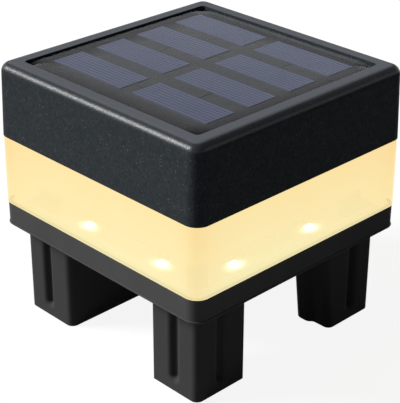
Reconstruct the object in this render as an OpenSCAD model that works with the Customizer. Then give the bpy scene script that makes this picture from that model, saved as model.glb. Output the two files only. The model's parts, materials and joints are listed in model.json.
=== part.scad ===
// Square solar post cap light: a cap with a sunk solar panel, a frosted window band that glows, and a
// base whose legs plug into a hollow post. Millimetres, +Z up, origin on the centre axis at the feet.

/* [Overall] */
// Width of the cap across its lower edge
cap_w = 104; // [101:0.5:110]
// Radius of the four upright corners at the cap's lower edge
corner_r = 5.3; // [4.9:0.1:6.5]
// Wall thickness of the cap and the base band
shell_wall = 2.8; // [2.6:0.1:3.4]

/* [Cap] */
// Height of the cap
cap_h = 27.8; // [24:0.1:34]
// How much narrower the cap is at its top than at its lower edge
cap_draft = 1.6; // [0.8:0.1:2]
// Rounding of the cap's top edge
cap_round = 3.6; // [2.5:0.1:4]
// Thickness of the shelf that the panel lies on
shelf_t = 2; // [1.6:0.1:2.6]
// Diameter of the pillars that the housing screws hold, at their lower end
pillar_d = 7; // [6.4:0.1:7.4]
// How much wider a pillar is at its shoulder than at its lower end
pillar_draft = 0.8; // [0.4:0.1:1]
// Diameter of the pillars above their shoulder
pillar_top_d = 9.6; // [9:0.1:10]
// Thickness of the ribs under the shelf
shelf_rib_t = 1.6; // [1.2:0.1:2]
// Depth of the ribs under the shelf
shelf_rib_h = 6; // [3:0.5:8]
// Distance of the ribs from the cap's centre line
shelf_rib_at = 21; // [16:0.5:26]

/* [Window] */
// Height of the window band
window_h = 26.7; // [20:0.1:34]
// How much narrower the window is than the cap at their joint
window_top_step = 0.4; // [0.2:0.1:0.6]
// How much wider the window is than the cap at its own lower edge
window_low_flare = 0; // [0:0.05:0.3]
// Wall thickness of the window
window_wall = 2.2; // [1.8:0.1:2.6]
// Thickness of the flanges at the window's upper and lower edge
flange_t = 1.6; // [1.2:0.1:2.2]
// How far the upper flange reaches in under the reflector plate
flange_reach = 1.6; // [1.2:0.1:2.2]

/* [Joints of the housing] */
// Thickness of the cap's and base's outer lip beside the window's tongue
lip_t = 1.4; // [1.2:0.1:1.5]
// Gap between lip and tongue
lip_gap = 0.1; // [0.05:0.05:0.2]
// Height of the window's tongues
tongue_h = 2.6; // [2:0.1:3.2]
// Thickness of the silicone seals
seal_t = 1; // [0.8:0.1:1.4]

/* [Reflector plate] */
// Thickness of the reflector plate
reflector_t = 1; // [0.8:0.1:1.4]
// Gap round the reflector plate and round the pillars through it
reflector_gap = 0.2; // [0.1:0.05:0.3]

/* [Base] */
// Height of the base band
band_h = 9.1; // [8:0.1:11]
// How much narrower the band's top is than the cap's lower edge
band_top_step = 0.5; // [0.3:0.1:0.8]
// Height of the bead along the band's lower edge
bead_h = 0.8; // [0.5:0.1:1.2]
// How far the bead stands out from the band
bead_out = 0.3; // [0.2:0.05:0.4]
// Thickness of the tray floor
floor_t = 2; // [1.6:0.1:2.4]

/* [Legs] */
// Length of the legs under the band
leg_h = 36.2; // [32:0.1:46]
// How far the band stands out over the plug that the legs make together, to seat on the post
seat_w = 5.9; // [5:0.1:6.5]
// Radius of the plug's upright corners
plug_corner_r = 2.8; // [2:0.1:4]
// Wall thickness of the legs
leg_wall = 2.4; // [2:0.1:2.8]
// Front leg along X
front_leg_x = 21.8; // [20:0.1:24]
// Front leg along Y
front_leg_y = 22.6; // [20:0.1:25]
// Right leg along X
right_leg_x = 15.9; // [15.4:0.1:18]
// Right leg along Y, at its foot
right_leg_y = 25.1; // [22:0.1:27]
// Lean of the right leg's inner end, in degrees
right_leg_lean = 6.9; // [3:0.1:7.5]
// Radius of the corner between the right leg's inner and leaning faces
right_leg_r = 3.5; // [2:0.1:4]
// Radius of the corner between the right leg's leaning and outer faces
right_leg_outer_r = 2.4; // [1:0.1:3]
// How far the leaning face steps back
right_leg_step = 1.6; // [0.8:0.1:2.2]
// Distance of that step from the leg's inner face
right_leg_step_at = 7.5; // [7:0.1:8.5]
// Radius of both bends of that step
right_leg_step_r = 2.3; // [1.6:0.1:3]
// Depth of the flutes
flute_depth = 2.1; // [1.2:0.1:2.4]
// Radius of the flutes' bottom
flute_r = 1.5; // [1:0.05:1.8]
// Radius of the flutes' rounded edges
flute_edge_r = 2.2; // [1.2:0.1:2.6]
// Distance of the flutes from the plug's corners
flute_in = 11.6; // [10.6:0.1:13.1]
// Height of the centre of the flutes' round ends above the feet
flute_foot = 5.8; // [5:0.1:9]

/* [Housing screws] */
// Distance of the housing screws from the plug's faces
screw_in = 6.6; // [6.3:0.1:7.1]
// Diameter of the housing screws
screw_d = 2.6; // [2.2:0.1:3]
// Length of the housing screws under the head
screw_l = 14; // [10:0.5:18]
// Diameter of the screw heads
screw_head_d = 4.8; // [4.4:0.1:5]
// Height of the screw heads
screw_head_h = 1.8; // [1.4:0.1:2.2]
// Diameter of the screw wells in the legs
well_d = 5.4; // [5.2:0.1:5.6]
// Wall round the screw wells
well_wall = 1.9; // [1.5:0.1:2]
// Thickness of plastic under a pillar that the screw head bears on
screw_seat_t = 4.4; // [3.4:0.1:6]
// Gap round a screw in the hole that it passes through
screw_pass_gap = 0.2; // [0.1:0.05:0.4]
// Gap between a screw and the hole that it bites in
screw_bite_gap = 0.05; // [0.02:0.01:0.08]

/* [Solar panel] */
// Width of the square panel
panel_w = 87.5; // [84:0.1:88]
// Gap round the panel in its recess
panel_gap = 0.45; // [0.3:0.05:0.6]
// How far the panel's face lies below the rim
panel_drop = 0.6; // [0.3:0.1:1.5]
// Corner radius of the panel
panel_corner_r = 1.2; // [0.6:0.1:3]
// Thickness of the clear front
panel_cover_t = 1.2; // [0.8:0.1:1.8]
// Width of the clear front's domed edge
panel_edge_w = 7; // [4:0.5:9]
// How far the clear front is lower at its edge than in the middle
panel_edge_drop = 0.8; // [0.3:0.05:0.9]
// Thickness of the backing board
panel_board_t = 1.6; // [1:0.1:2]
// Thickness of the foam tape
panel_tape_t = 0.8; // [0.5:0.1:1.2]
// Width of the foam tape
panel_tape_w = 6; // [4:0.5:8]
// Film of resin between the clear front and what it covers
film_t = 0.05; // [0.02:0.01:0.08]
// Rows of cells
cell_rows = 4; // [3:1:4]
// Columns of cells
cell_columns = 2; // [2:1:2]
// Length of a cell
cell_l = 36; // [30:0.5:37]
// Width of a cell
cell_w = 13.2; // [10:0.1:14]
// Thickness of a cell
cell_t = 0.3; // [0.2:0.05:0.4]
// Space between the two columns
column_space = 5.6; // [4.5:0.1:6.5]
// Space between rows
row_space = 6.6; // [4:0.1:7]
// Place of the cell field's centre along X
cells_x = -2.3; // [-2.6:0.1:2]
// Place of the cell field's centre along Y
cells_y = 3.3; // [-2:0.1:3.4]
// Width of the tinned ribbons between cells
ribbon_w = 1.6; // [1:0.1:2]
// Thickness of the tinned ribbons
ribbon_t = 0.15; // [0.1:0.05:0.2]

/* [Lamp board] */
// Width of the lamp board
board_w = 84; // [82:0.5:86]
// Thickness of the lamp board
board_t = 1.6; // [1.2:0.1:2]
// Height of the board's stand-offs above the tray floor
board_lift = 1; // [0.8:0.1:2]
// Distance of the stand-offs from the centre, along X
standoff_x = 15; // [13:0.5:16]
// Distance of the stand-offs from the centre, along Y
standoff_y = 32; // [30:0.5:33]
// Diameter of the stand-offs
standoff_d = 6; // [5:0.2:6.4]
// Diameter of the board screws
board_screw_d = 2; // [1.6:0.1:2.2]
// Diameter of the board screws' heads
board_head_d = 3.8; // [3.4:0.1:4.2]
// Length of the board screws under the head
board_screw_l = 4; // [3:0.1:4.2]
// Distance of the lamps from the centre plane beside them
lamp_out = 37; // [35:0.5:38]
// Distance of the lamps from the centre plane across them
lamp_along = 19.5; // [18:0.5:24]
// Length of a lamp package
lamp_l = 3.5; // [3:0.1:4]
// Width of a lamp package
lamp_w = 2.8; // [2.4:0.1:3]
// Height of a lamp package
lamp_h = 0.9; // [0.7:0.1:1.2]
// Rim of a lamp package round its phosphor
lamp_rim = 0.4; // [0.3:0.05:0.5]

/* [Battery bay] */
// Width of the bay block along the -X side
bay_block_w = 24.8; // [24:0.1:26]
// Radius of the bay block's inner corners
bay_block_r = 2.8; // [2:0.1:4]
// Diameter of the battery cell
cell_can_d = 14.5; // [13.8:0.1:14.9]
// Length of the battery cell with its nub
cell_can_l = 50.5; // [44:0.1:56]
// Length of the bay beyond the cell, for the spring and both contacts
bay_end_room = 6.5; // [5:0.1:8]
// Height of the cell's nub
nub_h = 1.2; // [0.8:0.1:1.5]
// Diameter of the cell's nub
nub_d = 5.5; // [4:0.1:6]
// Thickness of the cell's sleeve
sleeve_t = 0.2; // [0.1:0.05:0.3]
// Gap between the cell and the saddles above it
saddle_gap = 0.05; // [0.02:0.01:0.1]
// Space over the cell up to the bay's ceiling
cell_headroom = 0.7; // [0.5:0.1:1.5]
// Thickness of the bay's ceiling
bay_roof_t = 2; // [1.6:0.1:2.6]
// Thickness of the contact plates
contact_t = 0.4; // [0.3:0.05:0.5]
// Width of the contact plates
contact_w = 11; // [9:0.5:12]
// Width of the contacts' solder tabs
tab_w = 3; // [2.4:0.1:4]
// Wire diameter of the spring
spring_wire_d = 0.8; // [0.6:0.1:1]
// Turns of the spring
spring_turns = 3.5; // [3:0.5:4]

/* [Battery door] */
// How far the door reaches past each end of the bay
door_end_lap = 6.5; // [6:0.1:7.5]
// How far the door reaches past each side of the bay
door_side_lap = 0.3; // [0.1:0.1:0.4]
// Distance of the door's screws from its ends
door_screw_in = 3.2; // [2.9:0.1:3.4]
// Corner radius of the door
door_corner_r = 1.5; // [0.5:0.1:3]
// Thickness of the door
door_t = 2; // [1.6:0.1:2.4]
// How far the door lies above the feet
door_sink = 0.6; // [0.4:0.1:1]
// Gap round the door
door_gap = 0.3; // [0.2:0.05:0.4]
// Thickness of the door's seal
door_seal_t = 0.8; // [0.6:0.1:1.2]
// Width of the ledge that the door's seal presses on
ledge_w = 1.4; // [1.2:0.1:1.6]
// Thickness of that ledge
ledge_t = 1.6; // [1.2:0.1:2]
// Gap between the door's cradle ribs and the cell
cradle_gap = 0.3; // [0.2:0.05:0.5]
// Length of the door's screws
door_screw_l = 8; // [6:0.5:10]

/* [Switch] */
// Place of the switch along Y
switch_y = 22; // [18:0.5:24]
// Length of the switch case
switch_l = 11; // [10.6:0.1:12]
// Width of the switch case
switch_w = 5.6; // [5.2:0.1:6]
// Height of the switch case
switch_h = 4.6; // [4.2:0.1:5.4]
// Length over the switch's ears
switch_ear_l = 19; // [18.4:0.1:20]
// Thickness of the ears
switch_ear_t = 0.8; // [0.6:0.1:1]
// Travel of the slider
switch_travel = 3; // [2:0.1:3]
// Length of the lever along its travel
lever_l = 2.6; // [2:0.1:2.8]
// Width of the lever
lever_w = 1.6; // [1.2:0.1:1.8]
// How far the lever stands out under the tray floor
lever_out = 1.8; // [1:0.1:3]
// Gap round the slider
slider_gap = 0.25; // [0.2:0.05:0.3]

/* [Wires] */
// Outer diameter of the wires
wire_d = 1.4; // [1:0.1:1.5]

/* [Hidden] */

$fn = 64;
through = 1;          // how far a cut runs past the face that it opens
wire_sides = 8;       // sides of a wire
wire_steps = 4;       // rings between two points of a wire's route
spring_steps = 14;    // rings in one turn of the spring

// Levels, from the feet up
floor_low = leg_h;
floor_top = floor_low + floor_t;
window_z = leg_h + band_h;
cap_z = window_z + window_h;
top_z = cap_z + cap_h;

// Widths: every upright corner of cap, window and band turns about the same four centres
core = cap_w / 2 - corner_r;
cap_top_w = cap_w - cap_draft;
window_top_w = cap_w - window_top_step;
window_low_w = cap_w + window_low_flare;
band_top_w = cap_w - band_top_step;
upper_tongue_w = cap_w - 2 * (lip_t + lip_gap);
lower_tongue_w = band_top_w - 2 * (lip_t + lip_gap);
tongue_t = shell_wall - lip_t - lip_gap;

// Solar panel, from its face down
panel_top = top_z - panel_drop;
cells_top = panel_top - panel_cover_t;
cells_low = cells_top - cell_t;
panel_board_low = cells_low - panel_board_t;
shelf_top = panel_board_low - panel_tape_t;
shelf_low = shelf_top - shelf_t;
recess_w = panel_w + 2 * panel_gap;
row_pitch = cell_w + row_space;
column_pitch = cell_l + column_space;

// Reflector plate, on the window's upper flange
reflector_w = upper_tongue_w - 2 * tongue_t - 2 * reflector_gap;
reflector_top = cap_z + reflector_t;

// Lamp board
board_low = floor_top + board_lift;
board_top = board_low + board_t;
part_gap = 0.02;      // solder under a part on the board
board_gap = 0.6;      // room round what passes through the board

// Legs
plug_w = cap_w - 2 * seat_w;
plug_half = plug_w / 2;
flute_at = plug_half - flute_in;
leg_root = floor_t / 2;  // the legs and what stands on the floor reach this deep into the floor
front_leg_low_x = plug_half - front_leg_x;
front_leg_high_y = front_leg_y - plug_half;
right_leg_low_x = plug_half - right_leg_x;
right_leg_low_y = plug_half - right_leg_y;
arc_overlap = 0.005;  // how much closer than touching two arcs are set that run into each other
bay_block_x = bay_block_w - plug_half;

// Screw wells
screw_at = plug_half - screw_in;
screw_end_gap = 0.2;  // room past a screw's tip
screw_seat_z = floor_top - screw_seat_t;
well_tube_r = well_d / 2 + well_wall;

// Battery bay and its door
bay_x = (bay_block_x - plug_half) / 2;
bay_w = bay_block_w - 2 * leg_wall;
bay_l = cell_can_l + bay_end_room;
door_w = bay_w + 2 * door_side_lap;
door_l = bay_l + 2 * door_end_lap;
door_top = door_sink + door_t;
ledge_low = door_top + door_seal_t;
ledge_top = ledge_low + ledge_t;
mouth_w = bay_w - 2 * ledge_w;
mouth_l = bay_l - 2 * ledge_w;
cell_floor_gap = 1;   // the cell's lowest point over the seal's face
cell_z = ledge_low + cell_floor_gap + cell_can_d / 2;
bay_top = cell_z + cell_can_d / 2 + cell_headroom;
bay_roof = bay_top + bay_roof_t;
dimple_h = 0.5;
dimple_d = 3;
nub_tip_y = bay_l / 2 - contact_t - dimple_h;
can_high_y = nub_tip_y - nub_h;
can_low_y = nub_tip_y - cell_can_l;
tab_top = bay_roof + 3;
tab_low_gap = 0.3;    // the contacts end this far above the ledge
tab_gap = 0.2;
door_screw_y = door_l / 2 - door_screw_in;
saddle_t = 2;
saddle_y = [-14, 14];
saddle_share = 0.8;   // width of the saddles as a share of the cell's diameter

// Switch: its ears lie on the tray floor and its lever comes out underneath
switch_low = floor_top;
cavity_low = switch_low + switch_ear_t;
slider_t = 2;
slider_l = switch_l - 2.4 - switch_travel;
slider_w = 3.4;
cavity_l = slider_l + switch_travel + 2 * slider_gap;
cavity_w = slider_w + 2 * slider_gap;
cavity_h = slider_t + 2 * slider_gap;
slot_l = lever_l + switch_travel + 2 * slider_gap;
slot_w = lever_w + 2 * slider_gap;
slider_rest_x = -switch_travel / 2;
lever_tip_z = floor_low - lever_out;
ear_pin_x = (switch_ear_l + switch_l) / 4;
ear_pin_d = 1.6;
ear_pin_gap = 0.1;
ear_pin_rise = 0.4;   // a pin's height above the ear that it passes through
terminal_x = [-2.5, 0, 2.5];
terminal_h = 3.4;

// Places on the lamp board
socket_x = 0;
socket_y = -16;
socket_l = 7.6;
socket_w = 5.6;
socket_h = 5;
socket_wall = 0.8;
plug_fit = 0.1;
plug_h = 6.4;
lead_pitch = 2.5;
wire_notch_l = 12;
wire_notch_w = 5;
chip_place = [14, -4];
inductor_place = [16, 8];
capacitor_place = [22, -10];
resistor_place = [8, -14];

// Wire routes, in order from the panel or battery to the board
panel_pad_y = -38;
shelf_hole_d = 6;
wire_end_gap = 0.1;   // solder between a wire's end and its pad
terminal_top = switch_low + switch_h + terminal_h;
panel_route = [
    [0, panel_pad_y, panel_board_low - wire_end_gap], [0, panel_pad_y, shelf_low - 1],
    [0, panel_pad_y + 6, shelf_low - 5], [0, socket_y - 6, shelf_low - 7],
    [0, socket_y - 2, cap_z + 6], [0, socket_y, cap_z - 4],
    [0, socket_y, board_top + 19], [0, socket_y, board_top + plug_fit + plug_h]
];
black_route = [
    [bay_x, -bay_l / 2 + 0.9, tab_top - 1], [bay_x, -bay_l / 2 + 6.5, tab_top + 4],
    [-39, -10, floor_top - 4], [-40, -3, floor_top + 1], [-39, -3, floor_top + 7],
    [-34, -4, floor_top + 8], [-31, -6, floor_top + 6], [-31, -6, board_top + wire_end_gap]
];
red_route = [
    [bay_x, bay_l / 2 - 0.9, tab_top - 1], [bay_x, bay_l / 2 - 6.5, tab_top + 4],
    [-39, 10, floor_top - 4], [-40, 3, floor_top + 1], [-39, 3, floor_top + 7],
    [-30, 6, floor_top + 10], [-14, 16, floor_top + 12],
    [terminal_x[0], switch_y, terminal_top + 4], [terminal_x[0], switch_y, terminal_top + wire_end_gap]
];
switch_route = [
    [terminal_x[1], switch_y, terminal_top + wire_end_gap], [terminal_x[1] + 1, switch_y, terminal_top + 4],
    [8, switch_y - 3, terminal_top + 4], [12, switch_y - 6, board_top + 5],
    [12, switch_y - 6, board_top + wire_end_gap]
];

cap_colour = [0.20, 0.21, 0.23];
base_colour = [0.17, 0.17, 0.17];
window_colour = [1.0, 0.92, 0.70];
seal_colour = [0.55, 0.56, 0.58];
screw_colour = [0.70, 0.71, 0.73];
board_colour = [0.93, 0.94, 0.92];
brass_colour = [0.78, 0.63, 0.32];
tin_colour = [0.66, 0.66, 0.64];
black_colour = [0.09, 0.09, 0.10];
red_colour = [0.75, 0.12, 0.10];

// ---------------------------------------------------------------- shared shapes

// Rectangle with round corners, centred
module rounded_rect(size_x, size_y, r) {
    square([size_x - 2 * r, size_y], center = true);
    square([size_x, size_y - 2 * r], center = true);
    for (x = [-1, 1])
        for (y = [-1, 1])
            translate([x * (size_x / 2 - r), y * (size_y / 2 - r)]) circle(r);
}

// Plate with round corners, standing on height z
module rounded_plate(size_x, size_y, r, z, t)
    translate([0, 0, z]) linear_extrude(height = t) rounded_rect(size_x, size_y, r);

// The half profile in children(), x outward from the corner centres and y up, is turned at the four
// corners and run straight along the four sides
module square_sweep(low_z, high_z) {
    for (x = [-1, 1])
        for (y = [-1, 1])
            translate([x * core, y * core, 0]) rotate_extrude() children();
    for (turn = [0, 90])
        rotate([0, 0, turn]) rotate([90, 0, 0]) linear_extrude(height = 2 * core, center = true) {
            translate([-core, low_z]) square([2 * core, high_z - low_z]);
            for (side = [0, 1])
                mirror([side, 0]) translate([core, 0]) children();
        }
}

// Square block with round corners that tapers from low_w to high_w
module drafted_block(low_w, high_w, low_z, high_z)
    square_sweep(low_z, high_z)
        polygon([
            [0, low_z], [low_w / 2 - core, low_z], [high_w / 2 - core, high_z], [0, high_z]
        ]);

module straight_block(w, low_z, high_z) drafted_block(w, w, low_z, high_z);

module at_corners() {
    for (x = [-1, 1])
        for (y = [-1, 1])
            translate([x * screw_at, y * screw_at, 0]) children();
}

// Countersunk or cheese-headed screw, pointing up, with the underside of its head at z = 0
module screw(d, l, head_d, head_h) {
    slot_t = head_d / 6;
    difference() {
        translate([0, 0, -head_h]) cylinder(h = head_h, d = head_d);
        for (turn = [0, 90])
            rotate([0, 0, turn])
                translate([-head_d / 3, -slot_t / 2, -head_h - through])
                    cube([2 * head_d / 3, slot_t, head_h / 2 + through]);
    }
    cylinder(h = l - d / 2, d = d);
    translate([0, 0, l - d / 2]) cylinder(h = d / 2, d1 = d, d2 = d / 3);
}

function unit(v) = v / norm(v);

// Point at share t between b and c on the smooth curve through a, b, c and d
function between(a, b, c, d, t) =
    0.5 * (2 * b + (c - a) * t + (2 * a - 5 * b + 4 * c - d) * t * t + (3 * b - a - 3 * c + d) * t * t * t);

// Smooth path through the points of a route
function smooth(p, steps) = [
    for (i = [0 : len(p) - 2])
        for (s = [0 : steps - 1])
            between(p[max(i - 1, 0)], p[i], p[i + 1], p[min(i + 2, len(p) - 1)], s / steps),
    p[len(p) - 1]
];

// Round tube along a path; ref is any direction that the path never runs along
module tube(path, r, sides, ref) {
    last = len(path) - 1;
    points = [
        for (i = [0 : last])
            let (
                ahead = unit(path[min(i + 1, last)] - path[max(i - 1, 0)]),
                across = unit(cross(ahead, ref)),
                up = cross(ahead, across)
            )
            for (k = [0 : sides - 1])
                path[i] + r * (cos(360 * k / sides) * across + sin(360 * k / sides) * up)
    ];
    walls = [
        for (i = [0 : last - 1])
            for (k = [0 : sides - 1])
                let (a = i * sides + k, b = i * sides + (k + 1) % sides)
                for (face = [[a, b + sides, b], [a, a + sides, b + sides]])
                    face
    ];
    caps = [
        [for (k = [0 : sides - 1]) k],
        [for (k = [0 : sides - 1]) last * sides + sides - 1 - k]
    ];
    polyhedron(points, concat(walls, caps));
}

module wire(route, ref) tube(smooth(route, wire_steps), wire_d / 2, wire_sides, ref);

// ---------------------------------------------------------------- cap

// Half profile of the cap: drafted side, round top edge
module cap_profile() {
    round_x = cap_top_w / 2 - core - cap_round;
    round_z = top_z - cap_round;
    polygon([
        [0, cap_z], [corner_r, cap_z], [round_x + cap_round, round_z],
        [round_x, round_z], [round_x, top_z], [0, top_z]
    ]);
    intersection() {
        translate([round_x, round_z]) circle(cap_round);
        translate([round_x, round_z]) square(cap_round);
    }
}

// Space inside the cap, narrower by the wall all round
module cap_hollow() {
    low_w = cap_w - 2 * shell_wall;
    drafted_block(low_w, low_w - cap_draft * (shelf_low - cap_z) / cap_h, cap_z - through, shelf_low);
    straight_block(cap_w - 2 * lip_t, cap_z - through, cap_z + tongue_h + seal_t);
}

module pillar() {
    translate([0, 0, floor_top])
        cylinder(h = reflector_top - floor_top, d1 = pillar_d, d2 = pillar_d + pillar_draft);
    translate([0, 0, reflector_top]) cylinder(h = shelf_low - reflector_top + shelf_t / 2, d = pillar_top_d);
}

module shelf_ribs() {
    span = cap_top_w - shell_wall;
    for (turn = [0, 90])
        for (side = [-1, 1])
            rotate([0, 0, turn])
                translate([-span / 2, side * shelf_rib_at - shelf_rib_t / 2, shelf_low - shelf_rib_h])
                    cube([span, shelf_rib_t, shelf_rib_h + shelf_t / 2]);
}

module top_cover() {
    color(cap_colour)
        difference() {
            union() {
                difference() {
                    square_sweep(cap_z, top_z) cap_profile();
                    cap_hollow();
                }
                at_corners() pillar();
                shelf_ribs();
            }
            rounded_plate(recess_w, recess_w, panel_corner_r + panel_gap, shelf_top, top_z);
            translate([0, panel_pad_y, shelf_low - through])
                cylinder(h = shelf_t + 2 * through, d = shelf_hole_d);
            at_corners()
                translate([0, 0, floor_top - through])
                    cylinder(h = screw_l - screw_seat_t + 2 * through, d = screw_d + 2 * screw_bite_gap);
        }
}

// ---------------------------------------------------------------- solar panel

module panel_plate(w, z, t) rounded_plate(w, w, panel_corner_r, z, t);

// One child at the centre of each cell
module at_cells() {
    for (row = [0 : cell_rows - 1])
        for (column = [0 : cell_columns - 1])
            translate([
                cells_x + (column - (cell_columns - 1) / 2) * column_pitch,
                cells_y + (row - (cell_rows - 1) / 2) * row_pitch, 0
            ]) children();
}

module panel_tape() {
    tape_w = panel_w - 2;
    color(black_colour)
        difference() {
            panel_plate(tape_w, shelf_top, panel_tape_t);
            translate([0, 0, shelf_top - through])
                linear_extrude(height = panel_tape_t + 2 * through)
                    square(tape_w - 2 * panel_tape_w, center = true);
            translate([0, panel_pad_y, shelf_top - through])
                cylinder(h = panel_tape_t + 2 * through, d = shelf_hole_d);
        }
}

module panel_board() color([0.20, 0.21, 0.21]) panel_plate(panel_w, panel_board_low, panel_board_t);

// The cells lie on the backing board, and the clear front clears them by the film of resin
module solar_cells()
    color([0.27, 0.29, 0.38])
        at_cells() translate([-cell_l / 2, -cell_w / 2, cells_low]) cube([cell_l, cell_w, cell_t]);

// A ribbon joins the two cells of each row across the middle, and the rows at their ends in turn
module cell_ribbons() {
    first_x = cells_x - (cell_columns - 1) / 2 * column_pitch;
    last_x = cells_x + (cell_columns - 1) / 2 * column_pitch;
    color(tin_colour) {
        for (row = [0 : cell_rows - 1])
            translate([
                cells_x - column_space / 2,
                cells_y + (row - (cell_rows - 1) / 2) * row_pitch - ribbon_w / 2, cells_low
            ]) cube([column_space, ribbon_w, ribbon_t]);
        for (row = [0 : cell_rows - 2])
            translate([
                (row % 2 == 0 ? last_x : first_x) - ribbon_w / 2,
                cells_y + (row - cell_rows / 2 + 1) * row_pitch - row_space / 2, cells_low
            ]) cube([ribbon_w, row_space, ribbon_t]);
    }
}

// Section of the clear front across its width, standing on y = 0: flat with a domed edge at both sides
module dome_profile(h) {
    flat_half = panel_w / 2 - panel_edge_w;
    dome_r = (pow(panel_edge_w, 2) + pow(panel_edge_drop, 2)) / (2 * panel_edge_drop);
    translate([-flat_half, 0]) square([2 * flat_half, h]);
    intersection() {
        translate([-panel_w / 2, 0]) square([panel_w, h]);
        for (side = [-1, 1])
            translate([side * flat_half, h - dome_r]) circle(dome_r, $fn = 256);
    }
}

module panel_cover() {
    low = cells_low + film_t;
    field_l = cell_columns * column_pitch - column_space + 2 * film_t;
    field_w = cell_rows * row_pitch - row_space + 2 * film_t;
    color([0.75, 0.80, 0.88, 0.35])
        difference() {
            intersection() {
                panel_plate(panel_w, low, panel_top - low);
                for (turn = [0, 90])
                    rotate([0, 0, turn]) rotate([90, 0, 0])
                        translate([0, low, -panel_w])
                            linear_extrude(height = 2 * panel_w) dome_profile(panel_top - low);
            }
            at_cells()
                translate([-cell_l / 2 - film_t, -cell_w / 2 - film_t, low - through])
                    cube([cell_l + 2 * film_t, cell_w + 2 * film_t, cell_t + through]);
            translate([cells_x - field_l / 2, cells_y - field_w / 2, low - through])
                cube([field_l, field_w, ribbon_t + through]);
        }
}

// ---------------------------------------------------------------- window, seals, reflector

// Square ring with round corners and upright walls
module square_ring(outer_w, wall, low_z, high_z)
    difference() {
        straight_block(outer_w, low_z, high_z);
        straight_block(outer_w - 2 * wall, low_z - through, high_z + through);
    }

module diffuser() {
    flange_inner_w = upper_tongue_w - 2 * tongue_t - 2 * flange_reach;
    color(window_colour)
        union() {
            difference() {
                drafted_block(window_low_w, window_top_w, window_z, cap_z);
                straight_block(window_top_w - 2 * window_wall, window_z + flange_t, cap_z - flange_t);
                straight_block(lower_tongue_w - 2 * tongue_t, window_z - through, window_z + 2 * flange_t);
                straight_block(flange_inner_w, cap_z - 2 * flange_t, cap_z + through);
            }
            square_ring(upper_tongue_w, tongue_t, cap_z, cap_z + tongue_h);
            square_ring(lower_tongue_w, tongue_t, window_z - tongue_h, window_z);
        }
}

module upper_seal()
    color(seal_colour)
        square_ring(upper_tongue_w, tongue_t, cap_z + tongue_h, cap_z + tongue_h + seal_t);

module lower_seal()
    color(seal_colour)
        square_ring(lower_tongue_w, tongue_t, window_z - tongue_h - seal_t, window_z - tongue_h);

module reflector_plate()
    color([0.96, 0.96, 0.94])
        difference() {
            straight_block(reflector_w, cap_z, reflector_top);
            at_corners()
                translate([0, 0, cap_z - through])
                    cylinder(h = reflector_t + 2 * through, d = pillar_d + pillar_draft + 2 * reflector_gap);
            translate([socket_x, socket_y, cap_z - through])
                cylinder(h = reflector_t + 2 * through, d = shelf_hole_d);
        }

// ---------------------------------------------------------------- base

// Outline of one flute, cut into a face that lies along X with the solid at +Y. Its round edges run into
// the round bottom; they are set arc_overlap closer than touching, so that all arcs cross
module flute_outline() {
    bottom = [0, flute_depth - flute_r];
    reach = flute_edge_r + flute_r - arc_overlap;
    edge_y = flute_edge_r - arc_overlap;
    edge_x = sqrt(reach * reach - pow(edge_y - bottom[1], 2));
    join = bottom + ([edge_x, edge_y] - bottom) * flute_r / (flute_edge_r + flute_r);
    difference() {
        polygon([
            [-edge_x, -through], [-edge_x, 0], [-join[0], join[1]],
            [join[0], join[1]], [edge_x, 0], [edge_x, -through]
        ]);
        for (x = [-1, 1])
            translate([x * edge_x, edge_y]) circle(flute_edge_r);
    }
    // The round bottom ends in a narrow flat, so that the flute's round end has no tip to come to a point
    intersection() {
        translate(bottom) circle(flute_r);
        translate([-flute_r, -through]) square([2 * flute_r, through + flute_depth - arc_overlap]);
    }
}

// Flute from its round end up through the leg's root
module flute(x, y, turn) {
    translate([x, y, flute_foot]) rotate([0, 0, turn]) {
        linear_extrude(height = leg_h + leg_root + through - flute_foot) flute_outline();
        rotate([-90, 0, 0]) rotate_extrude() intersection() {
            flute_outline();
            translate([0, -through]) square(plug_half);
        }
    }
}

// Thickening inside a pocket, behind a flute
module flute_back(x, y)
    translate([x, y, 0]) cylinder(h = floor_top, r = flute_depth + leg_wall);

// Upright block between two corners, with the plug's outer corner rounded where sx and sy point
module leg_block(low, high, sx, sy, r) {
    size = high - low;
    translate([low[0], low[1], 0]) linear_extrude(height = leg_h + leg_root)
        difference() {
            square(size);
            translate([sx > 0 ? size[0] : 0, sy > 0 ? size[1] : 0]) rotate([0, 0, corner_turn(sx, sy)])
                difference() {
                    translate([-through, -through]) square(r + through);
                    translate([r, r]) circle(r);
                }
        }
}

// Turn that lays a corner cut made for the low, low corner onto corner (sx, sy)
function corner_turn(sx, sy) = sx > 0 ? (sy > 0 ? 180 : 90) : (sy > 0 ? 270 : 0);

module front_leg()
    leg_block([front_leg_low_x, -plug_half], [plug_half, front_leg_high_y], 1, -1, plug_corner_r);

// Outline of the right leg where it stands on its leaning face, whose left end is at the origin: the
// face steps back in a double bend
module right_leg_outline(length) {
    r = right_leg_step_r;
    run = sqrt(pow(2 * r - arc_overlap, 2) - pow(2 * r - right_leg_step, 2));
    bend = [right_leg_step_at - run / 2, r];
    middle = [right_leg_step_at, right_leg_step / 2];
    back = [right_leg_step_at + run / 2, right_leg_step];
    outer = [right_leg_x - right_leg_outer_r, right_leg_step + right_leg_outer_r];
    join_y = right_leg_r + through;
    // Part in front of the step
    translate([right_leg_r, right_leg_r]) circle(right_leg_r);
    translate([right_leg_r, 0]) square([bend[0] - right_leg_r, join_y]);
    translate(bend) circle(r);
    difference() {
        polygon([bend, middle, back, [back[0], join_y], [bend[0], join_y]]);
        translate(back - [0, r]) circle(r);
    }
    // Part behind it
    translate([0, right_leg_r]) square([outer[0], length]);
    translate(back) square([outer[0] - back[0], length]);
    translate(outer) circle(right_leg_outer_r);
    translate(outer) square([right_leg_outer_r, length]);
}

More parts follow.
